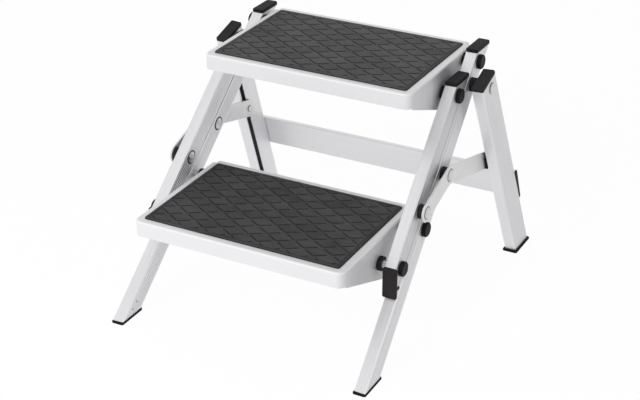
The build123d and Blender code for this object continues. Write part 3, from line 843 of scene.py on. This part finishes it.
class STEP_OT_plastics(StepOperator):
    """Give caps, feet, bushes, discs and glides their black plastic"""

    bl_idname = "step.plastics"
    bl_label = "Black Plastic"

    def execute(self, context):
        self.mould("cap_plastic", ("stile_caps", "rail_caps", "crossbar_caps", "glides"))
        # Painted light: the rail end caps and leg caps are made lighter, as their tops face the lamp
        self.mould("worn_cap_plastic", ("rail_end_caps", "leg_caps"), tone=1.7)
        self.mould("disc_plastic", ("rear_discs", "front_discs"), tone=0.7, smooth=0.36, dull=0.5)
        self.mould("foot_plastic", ("stile_feet", "leg_feet"), tone=0.8, smooth=0.6, dull=0.72)
        bushes = [name for name in NODES if name.endswith("_bushes")]
        self.mould("bush_plastic", bushes, tone=1.3, coarse=1.4, smooth=0.36, dull=0.5)
        return {"FINISHED"}

    def mould(self, name, nodes, tone=1.0, coarse=1.0, smooth=0.42, dull=0.55):
        colour = shade(tuple(self.finish.plastic), tone)
        dress(moulded_plastic(name, colour, self.finish.grain * coarse, smooth, dull), *nodes)


class STEP_OT_rivets(StepOperator):
    """Give rivets, pins, bolts and sleeves their zinc plated steel"""

    bl_idname = "step.rivets"
    bl_label = "Rivets"

    def execute(self, context):
        colour = tuple(self.finish.zinc)
        for name in ("lever_rear_rivets", "lever_front_rivets", "leg_rivets", "lever_pins"):
            dress(turned_steel(f"{name}_steel", colour, middle(name), head_radius(name)), name)
        for name, pivot in (("rear_spacers", LOWER_REAR), ("front_spacers", LOWER_FRONT)):
            dress(turned_steel(f"{name}_steel", colour, pivot), name)
        dress(pressed_steel("bolt_steel", colour), "rear_bolts", "front_bolts")
        return {"FINISHED"}


class STEP_OT_rear_edges(StepOperator):
    """Roll the rear edges of the trays"""

    bl_idname = "step.rear_edges"
    bl_label = "Rear Edges"

    def execute(self, context):
        small = self.small
        places = []
        for body, tray in (("upper_step", "upper_tray"), ("lower_step", "lower_tray")):
            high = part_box(tray)[1]
            rise = small.edge_above - small.edge_height / 2
            place = Vector((0, high[1] + small.edge_behind, high[2] + rise))
            places.append((place, Vector((0, 0, 1)), body))
        length = 2 * (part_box("lower_tray")[1][0] - small.edge_inset)
        edge = rolled_edge("rear_edge", length, small.edge, small.edge_height)
        coat = tray_coat("rear_edge_coat", tuple(self.finish.coat), tuple(self.finish.coat_highlight))
        copies(edge, places, coat)
        return {"FINISHED"}


class STEP_OT_bar_rivets(StepOperator):
    """Set the rivet heads that hold the crossbar to the rear legs"""

    bl_idname = "step.bar_rivets"
    bl_label = "Crossbar Rivets"

    def execute(self, context):
        small = self.small
        back_face = max(vertex.co.dot(LEG_BACK) for vertex in NODES["crossbar"].data.vertices)
        centre = middle("crossbar")
        centre += LEG_BACK * (back_face - SEAT - centre.dot(LEG_BACK))
        places = []
        for step in (-0.5, 0.5):
            spot = centre + LEG_UP * (step * small.bar_rivet_spread)
            places += both_sides(on_side(LEG_OUT + TUBE_W / 2, *spot.yz), LEG_BACK, "rear_legs")
        height = small.bar_rivet_height
        head = round_head("bar_rivet", small.bar_rivet, height, hollow=height * 0.4)
        copies(head, places, pressed_steel("bar_rivet_steel", tuple(self.finish.zinc)))
        return {"FINISHED"}


class STEP_OT_crimps(StepOperator):
    """Press the crimps that hold the feet in the stiles"""

    bl_idname = "step.crimps"
    bl_label = "Foot Crimps"

    def execute(self, context):
        small = self.small
        places = []
        for run in (small.crimp_run, small.crimp_run + small.crimp_spread):
            spot = UPPER_REAR - CLIMB_UP * run + CLIMB_FRONT * small.crimp_front
            places += both_sides(on_side(SEAT, *spot.yz), -SIDE, "stiles")
        height = small.crimp_height
        head = round_head("stile_crimp", small.crimp, height, hollow=height * 0.9)
        # The crimps take a dark colour as painted shade
        copies(head, places, pressed_steel("crimp_metal", tuple(self.finish.crimp_shade)))
        return {"FINISHED"}


class STEP_OT_stage(StepOperator):
    """Set the white floor, the lamps and the camera"""

    bl_idname = "step.stage"
    bl_label = "Stage"

    def execute(self, context):
        stage = self.stage
        self.floor()
        self.room()
        self.lamp("key_lamp", stage.key_place, stage.key_size, stage.key)
        self.lamp("top_lamp", stage.top_place, stage.top_size, stage.top)
        self.camera()
        context.scene.view_settings.view_transform = "Standard"
        return {"FINISHED"}

    def floor(self):
        bpy.ops.object.select_all(action="DESELECT")
        bpy.ops.mesh.primitive_plane_add(size=FLOOR_SIZE, location=(0, 0, -FLOOR_DROP))
        floor = bpy.context.object
        floor.name = "floor"
        bpy.ops.object.transform_apply(location=True, rotation=True, scale=True)
        tree = MaterialTree("white_floor")
        glow = tree.add("ShaderNodeEmission", {"Color": (1, 1, 1, 1), "Strength": self.stage.glow})
        dull = tree.add("ShaderNodeBsdfDiffuse", {"Color": (*self.stage.floor, 1)})
        share = tree.product(tree.seen(), self.stage.glow_share)
        blend = tree.add("ShaderNodeMixShader", {"Fac": share, 1: dull.outputs[0], 2: glow.outputs[0]})
        tree.feed(tree.nodes["Material Output"].inputs["Surface"], blend.outputs[0])
        floor.data.materials.append(tree.owner)

    def room(self):
        tree = NodeTree(bpy.data.worlds.new("white_room"), "Background")
        tree.set(Color=(1, 1, 1, 1), Strength=tree.span(tree.seen(), self.stage.sky, 1.0, 0.0, 1.0))
        bpy.context.scene.world = tree.owner

    def lamp(self, name, place, size, power):
        bpy.ops.object.light_add(type="AREA", location=place)
        lamp = bpy.context.object
        lamp.name = name
        lamp.data.shape = "DISK"
        lamp.data.size = size
        lamp.data.energy = power
        lamp.visible_glossy = False
        aim = Vector(self.stage.aim) - Vector(place)
        lamp.rotation_euler = aim.to_track_quat("-Z", "Y").to_euler()

    def camera(self):
        stage = self.stage
        turn = (pi / 2 - stage.elevation, 0, stage.azimuth)
        bpy.ops.object.camera_add(location=stage.eye, rotation=turn)
        camera = bpy.context.object
        camera.name = "camera"
        camera.data.sensor_fit = "HORIZONTAL"
        camera.data.sensor_width = SENSOR_W
        camera.data.lens = stage.lens
        camera.data.clip_end = SIGHT
        bpy.context.scene.camera = camera


OPERATORS = (
    STEP_OT_tubes, STEP_OT_levers, STEP_OT_treads, STEP_OT_plastics, STEP_OT_rivets,
    STEP_OT_rear_edges, STEP_OT_bar_rivets, STEP_OT_crimps, STEP_OT_stage,
)


class VIEW3D_PT_step(Panel):
    """Lists the operators and options of the step."""

    bl_idname = "VIEW3D_PT_step"
    bl_label = "Folding Step"
    bl_space_type = "VIEW_3D"
    bl_region_type = "UI"
    bl_category = "Step"

    def draw(self, context):
        for operator in OPERATORS:
            self.layout.operator(operator.bl_idname)
        for group in (context.scene.step_finish, context.scene.step_small, context.scene.step_stage):
            for name in group.__annotations__:
                self.layout.prop(group, name)


CLASSES = (StepFinish, StepSmallParts, StepStage, *OPERATORS, VIEW3D_PT_step)


def register():
    for item in CLASSES:
        bpy.utils.register_class(item)
    bpy.types.Scene.step_finish = PointerProperty(type=StepFinish)
    bpy.types.Scene.step_small = PointerProperty(type=StepSmallParts)
    bpy.types.Scene.step_stage = PointerProperty(type=StepStage)


def unregister():
    del bpy.types.Scene.step_stage
    del bpy.types.Scene.step_small
    del bpy.types.Scene.step_finish
    for item in reversed(CLASSES):
        bpy.utils.unregister_class(item)


def main():
    register()
    bpy.ops.object.select_all(action="DESELECT")
    for operator in OPERATORS:
        group, name = operator.bl_idname.split(".")
        getattr(getattr(bpy.ops, group), name)()


if __name__ == "__main__":
    main()
